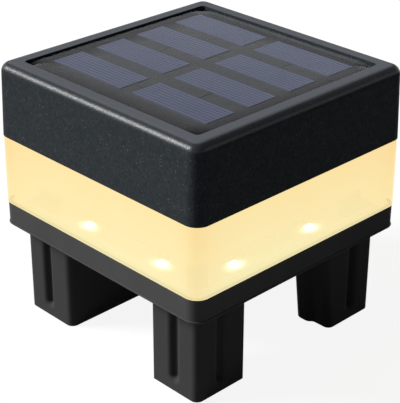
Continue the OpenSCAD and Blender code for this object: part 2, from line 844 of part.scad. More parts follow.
module right_leg() {
    rise = leg_h * tan(right_leg_lean);
    length = right_leg_y + rise;
    intersection() {
        leg_block([right_leg_low_x - through, right_leg_low_y - rise - through], [plug_half, plug_half],
            1, 1, plug_corner_r);
        translate([right_leg_low_x, right_leg_low_y, 0]) rotate([right_leg_lean, 0, 0])
            translate([0, 0, -right_leg_x])
                linear_extrude(height = leg_h + 2 * right_leg_x) right_leg_outline(length);
    }
}

// Block along the whole -X side: left leg, back leg and the battery bay between them
module bay_block() {
    size_y = plug_w;
    translate([-plug_half, -plug_half, 0]) linear_extrude(height = leg_h + leg_root) {
        difference() {
            square([bay_block_w, size_y]);
            for (y = [0, 1])
                translate([0, y * size_y]) mirror([0, y]) {
                    difference() {
                        translate([-through, -through]) square(plug_corner_r + through);
                        translate([plug_corner_r, plug_corner_r]) circle(plug_corner_r);
                    }
                    translate([bay_block_w, 0]) mirror([1, 0]) difference() {
                        translate([-through, -through]) square(bay_block_r + through);
                        translate([bay_block_r, bay_block_r]) circle(bay_block_r);
                    }
                }
        }
    }
}

// Flutes in the legs' outer faces: place and turn
flute_places = [
    [flute_at, -plug_half, 0], [plug_half, -flute_at, 90], [plug_half, flute_at, 90],
    [flute_at, plug_half, 180], [-flute_at, plug_half, 180], [-flute_at, -plug_half, 0]
];

// Pocket that keeps a leg's walls even, open to the tray
module leg_pocket(low, high, floor_z)
    translate([low[0], low[1], floor_z]) cube([high[0] - low[0], high[1] - low[1], floor_top - floor_z + through]);

module leg_pockets() {
    inner = plug_half - leg_wall;
    difference() {
        union() {
            leg_pocket([front_leg_low_x + leg_wall, -inner], [inner, front_leg_high_y - leg_wall], leg_wall);
            leg_pocket([right_leg_low_x + leg_wall, right_leg_low_y + right_leg_step + leg_wall],
                [inner, inner], leg_wall);
            leg_pocket([-inner, -inner], [bay_block_x - leg_wall, inner], bay_roof);
        }
        at_corners() cylinder(h = floor_top + 2 * through, r = well_tube_r);
        for (place = flute_places) flute_back(place[0], place[1]);
        for (x = [-1, 1])
            for (y = [-1, 1])
                translate([x * inner, y * inner, 0]) cylinder(h = floor_top + 2 * through, r = plug_corner_r);
    }
}

// Room for the cell, its contacts and the door
module battery_bay() {
    translate([bay_x, 0, 0]) {
        translate([-bay_w / 2, -bay_l / 2, ledge_top]) cube([bay_w, bay_l, bay_top - ledge_top]);
        translate([-mouth_w / 2, -mouth_l / 2, -through]) cube([mouth_w, mouth_l, ledge_top + 2 * through]);
        translate([0, 0, -through]) linear_extrude(height = ledge_low + through)
            square([door_w + 2 * door_gap, door_l + 2 * door_gap], center = true);
        for (side = [-1, 1]) {
            translate([0, side * door_screw_y, 0]) cylinder(h = door_screw_l + 2 * through, d = screw_d + 2 * screw_bite_gap);
            translate([-tab_w / 2 - tab_gap, side * (bay_l / 2 - contact_t / 2) - contact_t / 2 - tab_gap, ledge_top])
                cube([tab_w + 2 * tab_gap, contact_t + 2 * tab_gap, bay_roof - ledge_top + through]);
        }
    }
}

// Saddles that hold the cell down from the bay's ceiling
module saddles()
    for (y = saddle_y)
        difference() {
            translate([bay_x - saddle_share * cell_can_d / 2, y - saddle_t / 2, cell_z])
                cube([saddle_share * cell_can_d, saddle_t, bay_top - cell_z + bay_roof_t / 2]);
            translate([bay_x, y, cell_z]) rotate([90, 0, 0])
                cylinder(h = saddle_t + 2 * through, r = cell_can_d / 2 + saddle_gap, center = true);
        }

module at_standoffs() {
    for (x = [-1, 1])
        for (y = [-1, 1])
            translate([x * standoff_x, y * standoff_y, 0]) children();
}

// Half profile of the band: upright side with a round bead along its lower edge
module band_profile() {
    bead_x = corner_r - bead_h / 2;
    polygon([
        [0, floor_low], [bead_x, floor_low], [bead_x, floor_low + bead_h],
        [corner_r - bead_out, floor_low + bead_h], [band_top_w / 2 - core, window_z], [0, window_z]
    ]);
    translate([bead_x, floor_low + bead_h / 2]) circle(bead_h / 2);
}

// Floor and band of the tray
module tray() {
    difference() {
        square_sweep(floor_low, window_z) band_profile();
        straight_block(band_top_w - 2 * shell_wall, floor_top, window_z + through);
        straight_block(band_top_w - 2 * lip_t, window_z - tongue_h - seal_t, window_z + through);
    }
}

module base_housing() {
    color(base_colour)
        difference() {
            union() {
                difference() {
                    union() {
                        tray();
                        difference() {
                            union() {
                                front_leg();
                                right_leg();
                                bay_block();
                            }
                            for (place = flute_places) flute(place[0], place[1], place[2]);
                        }
                    }
                    leg_pockets();
                    battery_bay();
                }
                saddles();
                at_standoffs()
                    translate([0, 0, floor_top - leg_root]) cylinder(h = leg_root + board_lift, d = standoff_d);
                for (side = [-1, 1])
                    translate([side * ear_pin_x, switch_y, floor_top - leg_root])
                        cylinder(h = leg_root + switch_ear_t + ear_pin_rise, d = ear_pin_d);
            }
            at_corners() {
                translate([0, 0, -through]) cylinder(h = screw_seat_z + through, d = well_d);
                cylinder(h = floor_top + through, d = screw_d + 2 * screw_pass_gap);
            }
            at_standoffs()
                translate([0, 0, board_top - board_screw_l - screw_end_gap])
                    cylinder(h = board_screw_l, d = board_screw_d + 2 * screw_bite_gap);
            translate([0, switch_y, floor_low - through])
                linear_extrude(height = floor_t + 2 * through) square([slot_l, slot_w], center = true);
        }
}

// ---------------------------------------------------------------- screws

module housing_screws()
    color(screw_colour)
        at_corners() translate([0, 0, screw_seat_z]) screw(screw_d, screw_l, screw_head_d, screw_head_h);

module board_screws()
    color(screw_colour)
        at_standoffs() translate([0, 0, board_top]) mirror([0, 0, 1])
            screw(board_screw_d, board_screw_l, board_head_d, screw_head_h * board_head_d / screw_head_d);

// ---------------------------------------------------------------- lamp board and what is on it

module led_board() {
    color(board_colour)
        difference() {
            rounded_plate(board_w, board_w, panel_corner_r, board_low, board_t);
            at_corners()
                translate([0, 0, board_low - through])
                    cylinder(h = board_t + 2 * through, d = pillar_d + pillar_draft + 2 * board_gap);
            at_standoffs()
                translate([0, 0, board_low - through])
                    cylinder(h = board_t + 2 * through, d = board_screw_d + 2 * screw_pass_gap);
            translate([0, switch_y, board_low - through])
                linear_extrude(height = board_t + 2 * through)
                    square([switch_ear_l + 2 * board_gap, switch_w + 2 * board_gap], center = true);
            translate([-board_w / 2, 0, board_low - through])
                linear_extrude(height = board_t + 2 * through)
                    square([2 * wire_notch_w, wire_notch_l], center = true);
        }
}

// Two lamps beside each of the four walls
module at_lamps() {
    for (turn = [0, 90, 180, 270])
        for (side = [-1, 1])
            rotate([0, 0, turn]) translate([side * lamp_along, -lamp_out, board_top]) children();
}

module led_packages()
    color([0.95, 0.95, 0.92])
        at_lamps()
            difference() {
                translate([-lamp_l / 2, -lamp_w / 2, 0]) cube([lamp_l, lamp_w, lamp_h]);
                translate([-lamp_l / 2 + lamp_rim, -lamp_w / 2 + lamp_rim, lamp_h / 2])
                    cube([lamp_l - 2 * lamp_rim, lamp_w - 2 * lamp_rim, lamp_h]);
            }

module led_phosphors()
    color([1.0, 0.86, 0.35])
        at_lamps()
            translate([-lamp_l / 2 + lamp_rim, -lamp_w / 2 + lamp_rim, lamp_h / 2])
                cube([lamp_l - 2 * lamp_rim, lamp_w - 2 * lamp_rim, lamp_h / 2 - film_t]);

// Eight-pin driver chip with bent legs
module control_chip() {
    chip_l = 4.9;
    chip_w = 3.9;
    chip_h = 1.45;
    stand = 0.15;
    leg_t = 0.25;
    leg_pitch = 1.27;
    leg_out = 1.05;
    translate([chip_place[0], chip_place[1], board_top + part_gap]) {
        color(black_colour) translate([-chip_l / 2, -chip_w / 2, stand]) cube([chip_l, chip_w, chip_h]);
        color(tin_colour)
            for (side = [0, 1])
                mirror([0, side])
                    for (k = [-1.5 : 1 : 1.5])
                        translate([k * leg_pitch - leg_t, chip_w / 2, 0]) {
                            cube([2 * leg_t, leg_out, leg_t]);
                            cube([2 * leg_t, leg_t, stand + chip_h / 2]);
                        }
    }
}

// Drum-core inductor
module inductor() {
    drum_d = 6;
    drum_h = 4.5;
    flange = 0.8;
    translate([inductor_place[0], inductor_place[1], board_top + part_gap]) {
        color(black_colour) {
            cylinder(h = flange, d = drum_d);
            translate([0, 0, drum_h - flange]) cylinder(h = flange, d = drum_d);
            cylinder(h = drum_h, d = drum_d / 2);
        }
        color([0.72, 0.40, 0.18]) translate([0, 0, flange]) cylinder(h = drum_h - 2 * flange, d = drum_d - flange);
    }
}

module capacitor() {
    can_d = 5;
    can_h = 5.4;
    foot = 0.8;
    translate([capacitor_place[0], capacitor_place[1], board_top + part_gap]) {
        color(black_colour) linear_extrude(height = foot) square(can_d + 0.3, center = true);
        color([0.75, 0.76, 0.78]) cylinder(h = can_h, d = can_d);
    }
}

// Four chip resistors in a row
module resistors() {
    length = 2;
    width = 1.3;
    height = 0.55;
    pitch = 3;
    color([0.15, 0.15, 0.16])
        for (k = [0 : 3])
            translate([resistor_place[0] + pitch * k, resistor_place[1], board_top + part_gap])
                linear_extrude(height = height) square([width, length], center = true);
}

module panel_socket()
    color([0.93, 0.92, 0.86])
        translate([socket_x, socket_y, board_top + part_gap])
            difference() {
                translate([-socket_l / 2, -socket_w / 2, 0]) cube([socket_l, socket_w, socket_h]);
                translate([socket_wall - socket_l / 2, socket_wall - socket_w / 2, socket_wall])
                    cube([socket_l - 2 * socket_wall, socket_w - 2 * socket_wall, socket_h]);
            }

module panel_plug() {
    plug_l = socket_l - 2 * socket_wall - 2 * plug_fit;
    plug_w_y = socket_w - 2 * socket_wall - 2 * plug_fit;
    color([0.93, 0.92, 0.86])
        translate([socket_x, socket_y, board_top + socket_wall + plug_fit])
            linear_extrude(height = plug_h - socket_wall) square([plug_l, plug_w_y], center = true);
}

// ---------------------------------------------------------------- wires

module panel_wire_red()
    color(red_colour) translate([lead_pitch / 2, 0, 0]) wire(panel_route, [1, 0, 0]);

module panel_wire_black()
    color(black_colour) translate([-lead_pitch / 2, 0, 0]) wire(panel_route, [1, 0, 0]);

module battery_wire_red() color(red_colour) wire(red_route, [0.6, -1, 0.05]);

module battery_wire_black() color(black_colour) wire(black_route, [0.6, 1, 0.05]);

module switch_wire() color(red_colour) wire(switch_route, [0.3, 1, 0.02]);

// ---------------------------------------------------------------- battery

module battery_cell() {
    can_r = cell_can_d / 2 - sleeve_t;
    edge = 0.8;
    color([0.80, 0.80, 0.80])
        translate([bay_x, 0, cell_z]) rotate([-90, 0, 0]) {
            translate([0, 0, can_low_y]) cylinder(h = edge, r1 = can_r - edge, r2 = can_r);
            translate([0, 0, can_low_y + edge]) cylinder(h = can_high_y - can_low_y - 2 * edge, r = can_r);
            translate([0, 0, can_high_y - edge]) cylinder(h = edge, r1 = can_r, r2 = can_r - edge);
            translate([0, 0, can_high_y]) cylinder(h = nub_h, d = nub_d);
        }
}

module battery_sleeve() {
    edge = 0.8;
    color([0.16, 0.42, 0.30])
        translate([bay_x, 0, cell_z]) rotate([-90, 0, 0])
            difference() {
                translate([0, 0, can_low_y + edge])
                    cylinder(h = can_high_y - can_low_y - 2 * edge, d = cell_can_d);
                translate([0, 0, can_low_y])
                    cylinder(h = cell_can_l, r = cell_can_d / 2 - sleeve_t);
            }
}

// Plate on an end wall of the bay, with a tab up through the ceiling; side is -1 or 1
module contact_plate(side) {
    plate_top = bay_top - cell_headroom;
    plate_low = ledge_top + tab_low_gap;
    inner_y = side * bay_l / 2 - (side > 0 ? contact_t : 0);
    translate([bay_x - contact_w / 2, inner_y, plate_low]) cube([contact_w, contact_t, plate_top - plate_low]);
    translate([bay_x - tab_w / 2, inner_y, plate_low]) cube([tab_w, contact_t, tab_top - plate_low]);
}

// Conical spring that presses on the cell's flat end
module battery_spring() {
    wire_r = spring_wire_d / 2;
    base_y = -bay_l / 2 + contact_t + wire_r * 0.8;
    tip_y = can_low_y - wire_r - 0.05;
    steps = spring_turns * spring_steps;
    path = [
        for (i = [0 : steps])
            let (share = i / steps, a = 360 * spring_turns * share, r = 4.6 - 2 * share)
            [r * cos(a), base_y + (tip_y - base_y) * share, r * sin(a)]
    ];
    color(tin_colour) {
        contact_plate(-1);
        translate([bay_x, 0, cell_z]) tube(path, wire_r, 6, [0, 1, 0]);
    }
}

module battery_contact()
    color(brass_colour) {
        contact_plate(1);
        translate([bay_x, nub_tip_y, cell_z]) rotate([-90, 0, 0]) cylinder(h = dimple_h, d1 = dimple_d, d2 = dimple_d + 1.4);
    }

module door_seal()
    color(seal_colour)
        translate([bay_x, 0, door_top])
            linear_extrude(height = door_seal_t)
                difference() {
                    square([mouth_w + 2 * ledge_w, mouth_l + 2 * ledge_w], center = true);
                    square([mouth_w, mouth_l], center = true);
                }

// Door with two cradle ribs under the cell and a countersunk hole at each end
module battery_door() {
    rib_w = saddle_share * cell_can_d;
    head_r = screw_head_d / 2;
    color(base_colour)
        difference() {
            union() {
                translate([bay_x, 0, door_sink])
                    linear_extrude(height = door_t) rounded_rect(door_w, door_l, door_corner_r);
                for (y = saddle_y)
                    translate([bay_x - rib_w / 2, y - saddle_t / 2, door_top - door_t / 2])
                        cube([rib_w, saddle_t, cell_z - door_top]);
            }
            translate([bay_x, 0, cell_z]) rotate([90, 0, 0])
                cylinder(h = door_l, r = cell_can_d / 2 + cradle_gap, center = true);
            for (side = [-1, 1])
                translate([bay_x, side * door_screw_y, 0]) {
                    cylinder(h = door_top + through, d = screw_d + 2 * screw_pass_gap);
                    translate([0, 0, -through]) cylinder(h = door_sink + door_t / 2 + through, r = head_r + screw_pass_gap);
                }
        }
}

module door_screws()
    color(screw_colour)
        for (side = [-1, 1])
            translate([bay_x, side * door_screw_y, door_sink + door_t / 2])
                screw(screw_d, door_screw_l, screw_head_d, door_t / 2 - 0.1);

// ---------------------------------------------------------------- switch

module switch_body() {
    color([0.62, 0.63, 0.65])
        translate([0, switch_y, 0])
            difference() {
                union() {
                    translate([-switch_l / 2, -switch_w / 2, switch_low]) cube([switch_l, switch_w, switch_h]);
                    translate([-switch_ear_l / 2, -switch_w / 2, switch_low])
                        cube([switch_ear_l, switch_w, switch_ear_t]);
                }
                translate([-cavity_l / 2, -cavity_w / 2, cavity_low]) cube([cavity_l, cavity_w, cavity_h]);
                translate([-slot_l / 2, -slot_w / 2, switch_low - through])
                    cube([slot_l, slot_w, switch_ear_t + 2 * through]);
                for (side = [-1, 1])
                    translate([side * ear_pin_x, 0, switch_low - through])
                        cylinder(h = switch_ear_t + 2 * through, d = ear_pin_d + 2 * ear_pin_gap);
            }
}

module switch_terminals()
    color(brass_colour)
        for (x = terminal_x)
            translate([x - 0.4, switch_y - 0.2, switch_low + switch_h]) cube([0.8, 0.4, terminal_h]);

module switch_slider()
    color([0.90, 0.90, 0.88])
        translate([slider_rest_x, switch_y, 0]) {
            translate([-slider_l / 2, -slider_w / 2, cavity_low + slider_gap]) cube([slider_l, slider_w, slider_t]);
            translate([-lever_l / 2, -lever_w / 2, lever_tip_z])
                cube([lever_l, lever_w, cavity_low + slider_gap + slider_t / 2 - lever_tip_z]);
        }

top_cover();
panel_tape();
panel_board();
solar_cells();
cell_ribbons();
panel_cover();
upper_seal();
reflector_plate();
diffuser();
lower_seal();
led_board();
led_packages();
led_phosphors();
control_chip();
inductor();
capacitor();
resistors();
panel_socket();
panel_plug();
panel_wire_red();
panel_wire_black();
base_housing();
housing_screws();
board_screws();
battery_cell();
battery_sleeve();
battery_spring();
battery_contact();
battery_wire_red();
battery_wire_black();
switch_wire();
switch_body();
switch_terminals();
switch_slider();
battery_door();
door_seal();
door_screws();
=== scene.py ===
"""Looks of the solar post cap light: camera, light, and a material for every part of the frame."""
import json
import math

import bpy
from mathutils import Euler, Matrix, Vector


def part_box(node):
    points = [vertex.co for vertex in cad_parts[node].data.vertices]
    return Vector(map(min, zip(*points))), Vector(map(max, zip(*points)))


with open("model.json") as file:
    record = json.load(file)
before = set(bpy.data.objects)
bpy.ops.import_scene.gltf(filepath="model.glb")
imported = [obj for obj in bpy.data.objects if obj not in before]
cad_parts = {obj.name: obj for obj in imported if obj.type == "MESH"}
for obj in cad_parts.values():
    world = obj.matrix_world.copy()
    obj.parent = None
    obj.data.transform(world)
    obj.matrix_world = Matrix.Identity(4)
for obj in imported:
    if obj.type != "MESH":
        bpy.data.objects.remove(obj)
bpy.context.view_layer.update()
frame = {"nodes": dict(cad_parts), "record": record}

MM = 0.001


# ---------------------------------------------------------------- camera

IMAGE_W = 400             # pixels
IMAGE_H = 403
FOCAL_LENGTH = 1316.0     # pixels
VIEW_AZIMUTH = 45.80      # degrees from -Y towards +X
VIEW_ELEVATION = 27.14    # degrees up
VIEW_ROLL = 0.17
VIEW_DISTANCE = 0.4903    # metres, as are the aim and the nearest distance
AIM_HEIGHT = 0.0416       # height of the axis point near the middle of the view
AIM_UP = 0.00288          # the camera aims this far above that point, across the view
SENSOR = 36.0             # millimetres, as Blender counts them
NEAREST = 0.01            # closer than this the camera sees nothing


def make_camera():
    """Camera at the photograph's viewpoint, found by fitting the cap's, window's and band's edges."""
    turn = Euler((math.radians(90 - VIEW_ELEVATION), 0, math.radians(VIEW_AZIMUTH))).to_matrix()
    turn = turn @ Matrix.Rotation(math.radians(VIEW_ROLL), 3, "Z")
    up, back = turn.col[1], turn.col[2]
    data = bpy.data.cameras.new("camera")
    data.sensor_width = SENSOR
    data.lens = FOCAL_LENGTH * SENSOR / max(IMAGE_W, IMAGE_H)
    data.clip_start = NEAREST
    camera = bpy.data.objects.new("camera", data)
    place = Vector((0, 0, AIM_HEIGHT)) + AIM_UP * up + VIEW_DISTANCE * back
    camera.matrix_world = Matrix.Translation(place) @ turn.to_4x4()
    bpy.context.scene.collection.objects.link(camera)
    bpy.context.scene.camera = camera


make_camera()
bpy.context.scene.view_settings.view_transform = "Standard"


# ---------------------------------------------------------------- shader building

NOISE_LOW = 0.3           # most of a noise lies between these
NOISE_HIGH = 0.7
MIX_COLOURS = (6, 7)      # places of the Mix node's colour sockets
MIX_RESULT = 2


def linear(red, green, blue):
    """Colour as seen on a screen, 0 to 255, turned into the renderer's own linear colour."""
    def one(v):
        v /= 255
        return v / 12.92 if v <= 0.04045 else ((v + 0.055) / 1.055) ** 2.4
    return (one(red), one(green), one(blue), 1.0)


def grey(value):
    return (value, value, value, 1)


class Look:
    """One node-based material around a Principled shader, in the object's own metres."""

    def __init__(self, name, **sockets):
        self.material = bpy.data.materials.new(name)
        self.material.use_nodes = True
        self.tree = self.material.node_tree
        self.shader = self.tree.nodes["Principled BSDF"]
        self.output = self.tree.nodes["Material Output"]
        for socket, value in sockets.items():
            self.shader.inputs[socket.replace("_", " ")].default_value = value
        self.place = self.node("ShaderNodeTexCoord").outputs["Object"]

    def node(self, kind, **settings):
        made = self.tree.nodes.new(kind)
        for key, value in settings.items():
            setattr(made, key, value)
        return made

    def put(self, socket, value):
        """Sets a socket to a number or colour, or links another node's output to it."""
        if isinstance(value, bpy.types.NodeSocket):
            self.tree.links.new(value, socket)
        else:
            socket.default_value = value

    def maths(self, operation, a, b=0.0):
        made = self.node("ShaderNodeMath", operation=operation)
        self.put(made.inputs[0], a)
        self.put(made.inputs[1], b)
        return made.outputs[0]

    def add(self, a, b):
        return self.maths("ADD", a, b)

    def times(self, a, b):
        return self.maths("MULTIPLY", a, b)

    def axis(self, letter, vector=None):
        split = self.node("ShaderNodeSeparateXYZ")
        self.put(split.inputs[0], vector or self.place)
        return split.outputs[letter]

    def off_middle(self, letter):
        """Distance from the centre plane across one axis."""
        return self.maths("ABSOLUTE", self.axis(letter))

    def upwards(self):
        """1 where the surface faces up, 0 where it is upright, -1 where it faces down."""
        return self.axis("Z", self.node("ShaderNodeTexCoord").outputs["Normal"])

    def noise(self, grain, detail=3.0, rough=0.55, stretch=(1, 1, 1)):
        """Cloudy noise, 0 to 1, with lumps of about the size grain, in metres."""
        scaled = self.node("ShaderNodeMapping", vector_type="POINT")
        self.put(scaled.inputs["Vector"], self.place)
        scaled.inputs["Scale"].default_value = [s / grain for s in stretch]
        made = self.node("ShaderNodeTexNoise")
        self.put(made.inputs["Vector"], scaled.outputs[0])
        made.inputs["Scale"].default_value = 1.0
        made.inputs["Detail"].default_value = detail
        made.inputs["Roughness"].default_value = rough
        return made.outputs["Fac"]

    def spread(self, value, low, high, to_low=0.0, to_high=1.0):
        """Maps value from low..high to to_low..to_high, held at both ends."""
        made = self.node("ShaderNodeMapRange")
        self.put(made.inputs["Value"], value)
        made.inputs["From Min"].default_value = low
        made.inputs["From Max"].default_value = high
        made.inputs["To Min"].default_value = to_low
        made.inputs["To Max"].default_value = to_high
        return made.outputs[0]

    def vary(self, noise, low, high):
        """Spreads a noise over low..high."""
        return self.spread(noise, NOISE_LOW, NOISE_HIGH, low, high)

    def blend(self, share, first, second):
        """Colour between first and second; each is a screen colour or another node's output."""
        made = self.node("ShaderNodeMix", data_type="RGBA")
        self.put(made.inputs["Factor"], share)
        for place, value in zip(MIX_COLOURS, (first, second)):
            self.put(made.inputs[place], linear(*value) if isinstance(value, tuple) else value)
        return made.outputs[MIX_RESULT]

    def ramp(self, value, stops):
        made = self.node("ShaderNodeValToRGB")
        ends = made.color_ramp.elements
        while len(ends) < len(stops):
            ends.new(0.5)
        for end, (at, colour) in zip(ends, stops):
            end.position = at
            end.color = linear(*colour)
        self.put(made.inputs[0], value)
        return made.outputs[0]

    def colour(self, value):
        self.put(self.shader.inputs["Base Color"], value)

    def mottled(self, grain, dark, light):
        self.colour(self.blend(self.noise(grain), dark, light))

    def roughness(self, value):
        self.put(self.shader.inputs["Roughness"], value)

    def glow(self, colour, strength):
        self.put(self.shader.inputs["Emission Color"], colour)
        self.put(self.shader.inputs["Emission Strength"], strength)

    def bump(self, height, depth):
        """Relief: height runs from 0 to 1 and stands for depth in metres."""
        made = self.node("ShaderNodeBump")
        made.inputs["Strength"].default_value = 1.0
        made.inputs["Distance"].default_value = depth
        self.put(made.inputs["Height"], height)
        self.put(self.shader.inputs["Normal"], made.outputs[0])


def mix_shaders(tree, share, first, second):
    """first where share is 0, second where it is 1."""
    made = tree.nodes.new("ShaderNodeMixShader")
    for place, output in enumerate((share, first, second)):
        tree.links.new(output, made.inputs[place])
    return made.outputs[0]


def seen_rays(tree):
    """1 for camera, glossy and transmission rays, 0 for the rays that carry light."""
    paths = tree.nodes.new("ShaderNodeLightPath")
    share = paths.outputs["Is Camera Ray"]
    for kind in ("Is Glossy Ray", "Is Transmission Ray"):
        most = tree.nodes.new("ShaderNodeMath")
        most.operation = "MAXIMUM"
        tree.links.new(share, most.inputs[0])
        tree.links.new(paths.outputs[kind], most.inputs[1])
        share = most.outputs[0]
    return share


# ---------------------------------------------------------------- floor and light

FLOOR_SIZE = 8.0
FLOOR_DROP = 0.0001
FLOOR_PALE = 0.32         # lightness of the floor for the light that it sends back up
FLOOR_SEEN = 0.16         # share of the light on it that the floor shows to the eye
FLOOR_GLOW = 0.895        # the rest of the white that the floor shows to the eye
WORLD_TINT = (0.96, 0.98, 1.0, 1)
WORLD_LIGHT = 0.06        # strength with which the surroundings light the object
WORLD_WHITE_TO = 0.3      # up to this height on a ball round the object the surroundings look white
WORLD_DIM_FROM = 0.6      # and from this height they look dim
WORLD_OVERHEAD = 0.25     # strength that they show there
KEY_FROM = (-0.638, -0.557, 0.532)    # direction from the object towards the light
KEY_LIGHT = 3.9
KEY_ANGLE = 22            # degrees across, as seen from the object


def make_world():
    """Even pale surroundings: dim where they light the object, white where they are seen low down."""
    world = bpy.data.worlds.new("surroundings")
    bpy.context.scene.world = world
    world.use_nodes = True
    tree = world.node_tree
    light = tree.nodes["Background"]
    light.inputs["Color"].default_value = WORLD_TINT
    light.inputs["Strength"].default_value = WORLD_LIGHT
    seen = tree.nodes.new("ShaderNodeBackground")
    seen.inputs["Color"].default_value = grey(1)
    direction = tree.nodes.new("ShaderNodeTexCoord")
    split = tree.nodes.new("ShaderNodeSeparateXYZ")
    tree.links.new(direction.outputs["Generated"], split.inputs[0])
    fall = tree.nodes.new("ShaderNodeMapRange")
    fall.interpolation_type = "SMOOTHSTEP"
    tree.links.new(split.outputs["Z"], fall.inputs["Value"])
    fall.inputs["From Min"].default_value = WORLD_WHITE_TO
    fall.inputs["From Max"].default_value = WORLD_DIM_FROM
    fall.inputs["To Min"].default_value = 1.0
    fall.inputs["To Max"].default_value = WORLD_OVERHEAD
    tree.links.new(fall.outputs[0], seen.inputs["Strength"])
    both = mix_shaders(tree, seen_rays(tree), light.outputs[0], seen.outputs[0])
    tree.links.new(both, tree.nodes["World Output"].inputs[0])


def floor_material():
    """Looks white with a soft shadow, sends its plain light back up, and is clear from below."""
    material = bpy.data.materials.new("pale_floor")
    material.use_nodes = True
    tree = material.node_tree
    tree.nodes.remove(tree.nodes["Principled BSDF"])
    plain = tree.nodes.new("ShaderNodeBsdfDiffuse")
    plain.inputs["Color"].default_value = grey(FLOOR_PALE)
    lit = tree.nodes.new("ShaderNodeBsdfDiffuse")
    lit.inputs["Color"].default_value = grey(FLOOR_SEEN)
    glow = tree.nodes.new("ShaderNodeEmission")
    glow.inputs["Strength"].default_value = FLOOR_GLOW
    seen = tree.nodes.new("ShaderNodeAddShader")
    tree.links.new(lit.outputs[0], seen.inputs[0])
    tree.links.new(glow.outputs[0], seen.inputs[1])
    top = mix_shaders(tree, seen_rays(tree), plain.outputs[0], seen.outputs[0])
    below = tree.nodes.new("ShaderNodeNewGeometry").outputs["Backfacing"]
    clear = tree.nodes.new("ShaderNodeBsdfTransparent").outputs[0]
    tree.links.new(mix_shaders(tree, below, top, clear), tree.nodes["Material Output"].inputs[0])
    return material


def make_floor():
    half = FLOOR_SIZE / 2
    mesh = bpy.data.meshes.new("floor")
    corners = [(-half, -half), (half, -half), (half, half), (-half, half)]
    mesh.from_pydata([(x, y, -FLOOR_DROP) for x, y in corners], [], [(0, 1, 2, 3)])
    mesh.materials.append(floor_material())
    floor = bpy.data.objects.new("floor", mesh)
    bpy.context.scene.collection.objects.link(floor)


def make_key():
    """Soft key light from the left front, low enough to catch the cap's round edge."""
    data = bpy.data.lights.new("key", "SUN")
    data.energy = KEY_LIGHT
    data.angle = math.radians(KEY_ANGLE)
    lamp = bpy.data.objects.new("key", data)
    lamp.rotation_euler = Vector(KEY_FROM).to_track_quat("Z", "Y").to_euler()
    bpy.context.scene.collection.objects.link(lamp)


make_world()
make_floor()
make_key()


# ---------------------------------------------------------------- moulded plastics

# How far a face looks up, 0 to 1: each goes from nothing at its first value to all at its second
# The faces that look up are painted lighter: a painted sheen on the top
TOP_SHEEN_FACING = (0.9, 0.99)
EDGE_LOWER = (0.3, 0.5)
EDGE_UPPER = (0.97, 0.8)
SIDE_GLOSS = 0.008        # specular level of the cap's sides, and of its polished edge
EDGE_GLOSS = 0.22
EDGE_POLISH = 0.2         # how much less rough the edge is


def cap_plastic():
    """Dark slate plastic with a fine spark-eroded grain and painted glints in it, painted lighter on
    top as a painted sheen, and polished along its edge.
    """
    look = Look("cap_plastic")
    mottle = look.noise(1.3 * MM, detail=4, rough=0.7)
    tint = look.noise(4 * MM, detail=2)
    cool = look.blend(tint, (44, 50, 55), (50, 55, 58))
    grained = look.blend(look.spread(mottle, 0.35, 0.7), cool, (60, 64, 67))
    # painted glints: sparse light specks spread through the grain
    painted_glints = look.spread(look.noise(0.55 * MM, detail=2), 0.6, 0.74)
    painted_glints = look.times(painted_glints, look.spread(tint, 0.4, 0.62))
    grained = look.blend(painted_glints, grained, (104, 108, 112))
    face = look.upwards()
    # painted sheen: the upward faces are painted a lighter grey
    look.colour(look.blend(look.spread(face, *TOP_SHEEN_FACING), grained, (104, 108, 114)))
    edge = look.times(look.spread(face, *EDGE_LOWER), look.spread(face, *EDGE_UPPER))
    look.put(look.shader.inputs["Specular IOR Level"], look.spread(edge, 0, 1, SIDE_GLOSS, EDGE_GLOSS))
    look.roughness(look.add(look.vary(mottle, 0.56, 0.44), look.times(edge, -EDGE_POLISH)))
    look.bump(look.noise(0.5 * MM, detail=3, rough=0.6), 0.06 * MM)
    return look.material


BAND_UNDER_SEAL = 7 * MM  # the legs' darker colour starts this far below the lower seal
LEG_FADE = 1 * MM


def base_plastic():
    """Near-black plastic, smoother than the cap, with the faint flow marks of a moulding."""
    look = Look("base_plastic", Specular_IOR_Level=0.006)
    flow = look.noise(9 * MM, detail=2, stretch=(1, 1, 0.3))
    band = look.blend(flow, (77, 77, 78), (83, 83, 83))
    legs = look.blend(flow, (66, 66, 67), (72, 72, 72))
    band_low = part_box("lower_seal")[0][2] - BAND_UNDER_SEAL
    look.colour(look.blend(look.spread(look.axis("Z"), band_low - LEG_FADE, band_low), legs, band))
    look.roughness(look.vary(look.noise(0.8 * MM), 0.42, 0.5))
    look.bump(look.noise(0.4 * MM, detail=3), 0.025 * MM)
    return look.material


WINDOW_GLOW = 0.95
WINDOW_SOLID = 0.8        # low down the rest of the window lets the lamps close behind it show
CLEAR_TO = 11 * MM        # above this height over the band the window turns solid
CLEAR_FADE = 4 * MM
CORNER_FALL = 6.0         # the higher, the closer to the corners the glow turns peach
MIDDLE_SHARE = 0.3        # what the middle, lowness, the +X -Y corner and clouds add to its paleness
LOW_SHARE = 0.35
TOWARDS_SHARE = 0.2
CLOUD_SHARE = 0.1


